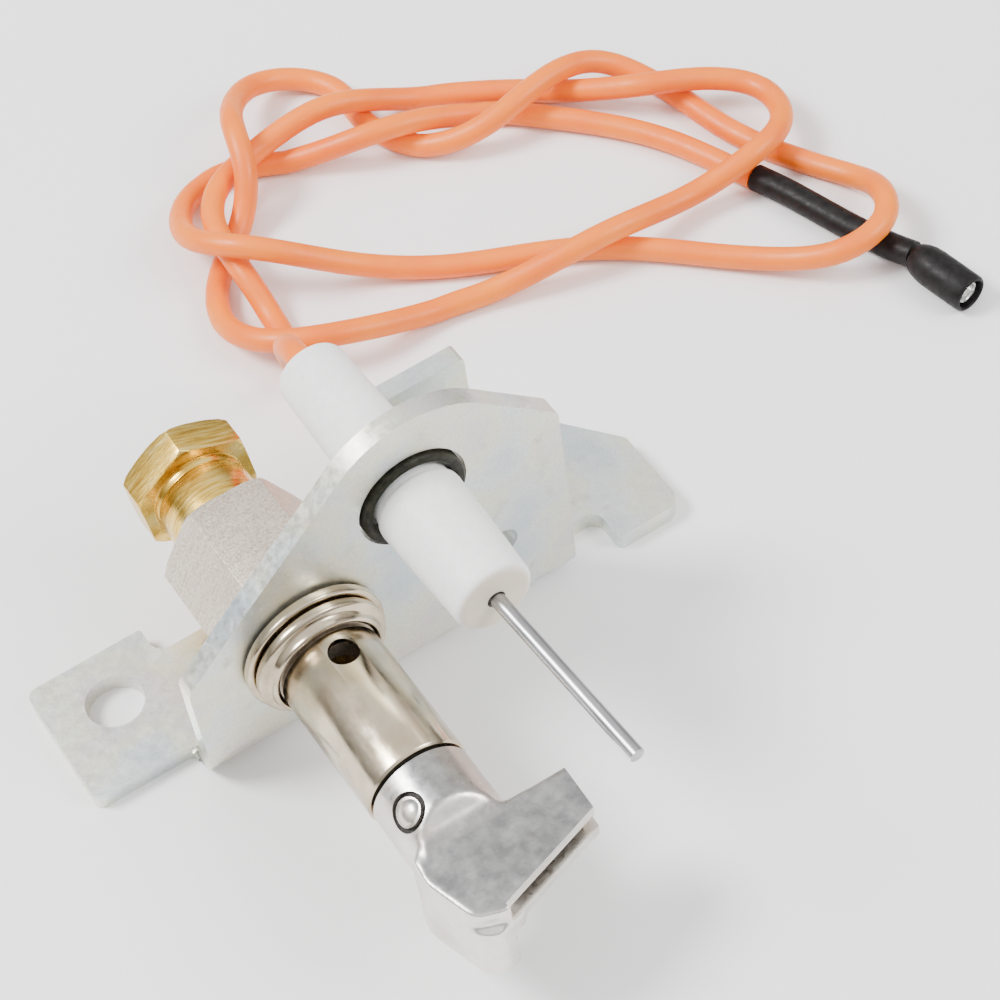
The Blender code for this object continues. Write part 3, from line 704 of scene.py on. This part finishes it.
LEAD_R, SLEEVE_R, FLOOR_GAP = 1.4, 1.6, 0.1
LEAD_ROUTE = [
    (13.9, 17.5, 27.46), (13.9, 20.6, 27.46), (14.1, 24.4, 26.3), (15.1, 28.6, 22.0), (17.0, 32.6, 14.2),
    (19.3, 37.4, 5.8), (21.0, 42.8, 1.8), (22.2, 50.4, 1.45), (22.1, 56.1, 4.2), (22.7, 63.4, 4.9),
    (26.1, 69.0, 4.7), (34.0, 72.0, 4.6), (42.9, 71.4, 6.0), (52.8, 70.2, 2.0), (61.0, 65.9, 1.45),
    (68.5, 59.7, 1.9), (74.6, 52.2, 5.0), (81.9, 48.8, 4.3), (86.6, 44.1, 3.6), (85.2, 37.8, 4.4),
    (78.8, 34.6, 5.2), (70.5, 35.4, 3.0), (58.8, 34.9, 5.0), (48.1, 37.1, 2.6), (37.5, 39.7, 1.6),
    (26.1, 40.8, 4.9), (18.7, 45.9, 4.2), (17.6, 54.6, 1.45), (21.6, 60.8, 1.45), (26.2, 64.6, 2.2),
    (29.5, 67.9, 6.2), (31.2, 73.0, 8.1), (33.8, 78.6, 6.0), (38.2, 82.4, 3.6), (43.6, 81.8, 1.9),
    (46.9, 77.2, 1.45), (46.9, 70.6, 1.45), (49.8, 63.4, 1.45), (56.6, 59.0, 3.8), (65.0, 59.3, 5.6),
    (73.4, 59.8, 3.8), (78.2, 54.6, 1.45), (80.4, 44.0, 1.45), (84.0, 34.4, 1.45), (87.6, 26.8, 2.2),
    (87.5, 21.6, 4.3), (84.6, 17.3, 5.2), (78.6, 16.9, 4.3), (73.2, 21.6, 2.3), (67.6, 27.6, 1.5),
    (57.0, 37.0, 1.45), (44.4, 43.6, 1.45), (33.6, 50.0, 3.2), (23.4, 55.6, 8.1), (19.3, 64.6, 5.2),
    (25.8, 73.4, 1.45), (35.6, 70.8, 1.45), (43.9, 65.7, 4.7), (50.7, 64.3, 4.3), (58.6, 63.0, 1.45),
    (64.6, 57.8, 1.45), (70.4, 51.2, 1.45), (74.8, 44.0, 1.45), (77.4, 37.4, 1.45), (78.6, 34.4, 1.5),
]
SLEEVE_ROUTE = [(78.7, 34.1, 1.65), (80.3, 29.6, 1.65), (82.3, 22.6, 1.7), (84.2, 16.6, 1.9),
    (85.5, 12.9, 2.35)]
BOOT_DIRECTION, BOOT_LENGTH = (0.16, -1.0, 0.0), 8.8


def smooth_route(route, step, floor_z):
    """Points at even spacing on a natural cubic spline through the route, none lower than floor_z."""
    points = np.array(route, float)
    knots = np.concatenate(([0.0], np.cumsum(np.sqrt(np.linalg.norm(np.diff(points, axis=0), axis=1)))))
    gaps = np.diff(knots)
    slopes = np.diff(points, axis=0) / gaps[:, None]
    count = len(points)
    system = np.eye(count)
    target = np.zeros((count, 3))
    for i in range(1, count - 1):
        system[i, i - 1:i + 2] = gaps[i - 1], 2 * (gaps[i - 1] + gaps[i]), gaps[i]
        target[i] = 6 * (slopes[i] - slopes[i - 1])
    bend = np.linalg.solve(system, target)
    fine = []
    for i, gap in enumerate(gaps):
        for t in np.linspace(0, gap, 30, endpoint=i == count - 2):
            a, b = (gap - t) / gap, t / gap
            curve = (a**3 - a) * bend[i] + (b**3 - b) * bend[i + 1]
            fine.append(a * points[i] + b * points[i + 1] + curve * gap**2 / 6)
    fine = np.array(fine)
    fine[:, 2] = np.maximum(fine[:, 2], floor_z)
    run = np.concatenate(([0.0], np.cumsum(np.linalg.norm(np.diff(fine, axis=0), axis=1))))
    stops = np.linspace(0, run[-1], round(run[-1] / step) + 1)
    return [world(*[np.interp(s, run, fine[:, k]) for k in range(3)]) for s in stops]


def make_lead():
    """The orange lead, its shrink sleeve and boot, and the round socket in the boot."""
    path = smooth_route(LEAD_ROUTE, 1.2, LEAD_R + FLOOR_GAP)
    lead = wire("orange_lead", path, LEAD_R, SILICONE)
    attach(lead, "root")
    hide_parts("ignition_lead")
    sleeve = wire("shrink_sleeve", smooth_route(SLEEVE_ROUTE, 1.0, SLEEVE_R + FLOOR_GAP), SLEEVE_R, SHRINK)
    sleeve = keep(sleeve, "shrink_tube", SHRINK, replaces=["heat_shrink_sleeve"], sharp=60)
    start = world(*SLEEVE_ROUTE[-1])
    direction = Vector(BOOT_DIRECTION).normalized()
    turn = (0, math.pi / 2, math.atan2(direction.y, direction.x))
    boot = turned("boot", [
        (1.9, BOOT_LENGTH), (2.15, BOOT_LENGTH - 0.1), (2.28, BOOT_LENGTH - 0.4), (2.3, 3.0), (2.22, 2.0),
        (2.0, 1.1),
        (1.72, 0.5), (1.6, 0.3), (0.9, 0.3), (0.9, 2.2), (1.75, 2.8), (1.75, BOOT_LENGTH - 0.15),
    ], (0, 0))
    socket = turned("socket", [
        (1.45, BOOT_LENGTH - 0.75), (1.45, 3.2), (1.0, 3.2), (1.0, BOOT_LENGTH - 0.8),
        (1.12, BOOT_LENGTH - 0.62),
        (1.33, BOOT_LENGTH - 0.6),
    ], (0, 0))
    for piece in (boot, socket):
        piece.location = start
        piece.rotation_euler = turn
    boot = keep(boot, "boot_shell", SHRINK, replaces=["terminal_boot"], bevel=0.08)
    socket = keep(socket, "socket_barrel", TIN, replaces=["socket_terminal"])


def repaint(node, finish):
    data = frame["nodes"][node].data
    data.materials.clear()
    data.materials.append(finish)
    data.shade_smooth()
    data.set_sharp_from_angle(angle=math.radians(35))


# ---------------------------------------------------------------- camera, floor and light

def make_camera():
    azimuth, pitch, roll = math.radians(25.56), math.radians(52.63), math.radians(-8.96)
    distance = 295.45
    aim = Vector((math.sin(azimuth) * math.cos(pitch), math.cos(azimuth) * math.cos(pitch), -math.sin(pitch)))
    level = Vector((math.cos(azimuth), -math.sin(azimuth), 0))
    upward = level.cross(aim)
    right = math.cos(roll) * level + math.sin(roll) * upward
    up = -math.sin(roll) * level + math.cos(roll) * upward
    data = bpy.data.cameras.new("camera")
    data.lens = 105.56
    data.clip_start = 0.01
    camera = bpy.data.objects.new("camera", data)
    axes = Matrix((right, up, -aim)).transposed().to_4x4()
    camera.matrix_world = Matrix.Translation(world(23.157, 0, 19.574) - aim * distance * MM) @ axes
    bpy.context.scene.collection.objects.link(camera)
    bpy.context.scene.camera = camera


def area_light(name, location, target, size, power):
    data = bpy.data.lights.new(name, "AREA")
    data.shape = "DISK"
    data.size = size
    data.energy = power
    lamp = bpy.data.objects.new(name, data)
    lamp.location = location
    lamp.rotation_euler = (Vector(target) - Vector(location)).to_track_quat("-Z", "Y").to_euler()
    bpy.context.scene.collection.objects.link(lamp)


def make_stage():
    mesh = bpy.data.meshes.new("floor")
    bm = bmesh.new()
    bmesh.ops.create_grid(bm, x_segments=1, y_segments=1, size=1.5)
    bm.to_mesh(mesh)
    bm.free()
    floor = bpy.data.objects.new("floor", mesh)
    floor.location = (0, 0, -0.00002)
    bpy.context.scene.collection.objects.link(floor)
    mesh.materials.append(plain("floor_paper", (0.90, 0.90, 0.905), (0.92, 0.92, 0.92), 0.6, per_mm=0.01,
        depth=0.01))
    light = bpy.data.worlds.new("studio")
    light.use_nodes = True
    tree = light.node_tree
    sky = tree.nodes["Background"]
    where = tree.nodes.new("ShaderNodeTexCoord")
    axes = tree.nodes.new("ShaderNodeSeparateXYZ")
    ramp = tree.nodes.new("ShaderNodeValToRGB")
    ramp.color_ramp.elements[0].position = 0.05
    ramp.color_ramp.elements[0].color = (0.16, 0.155, 0.145, 1)
    ramp.color_ramp.elements[1].position = 0.62
    ramp.color_ramp.elements[1].color = (1.0, 1.0, 1.0, 1)
    tree.links.new(where.outputs["Generated"], axes.inputs["Vector"])
    tree.links.new(axes.outputs["Z"], ramp.inputs["Fac"])
    tree.links.new(ramp.outputs["Color"], sky.inputs["Color"])
    sky.inputs["Strength"].default_value = 1.45
    bpy.context.scene.world = light
    area_light("key", (-0.35, 0.25, 0.55), (0.01, 0.01, 0.0), 0.26, 7.0)
    area_light("fill", (0.45, -0.40, 0.50), (0.01, 0.0, 0.0), 0.35, 4.0)


make_camera()
make_stage()
make_lead()
make_bracket()
make_body()
make_collar()
make_tube()
make_hood()
make_stud()
make_nut()
make_ceramic()
make_rod()
repaint("mixing_tube", DARK)
repaint("front_cement", CEMENT)
repaint("compression_ferrule", BRASS)
repaint("pilot_orifice", BRASS)
repaint("crimp_sleeve", COPPER)
repaint("rear_potting", RESIN)
repaint("lead_conductor_inner", COPPER)
repaint("lead_conductor_outer", COPPER)
clear_scrap()
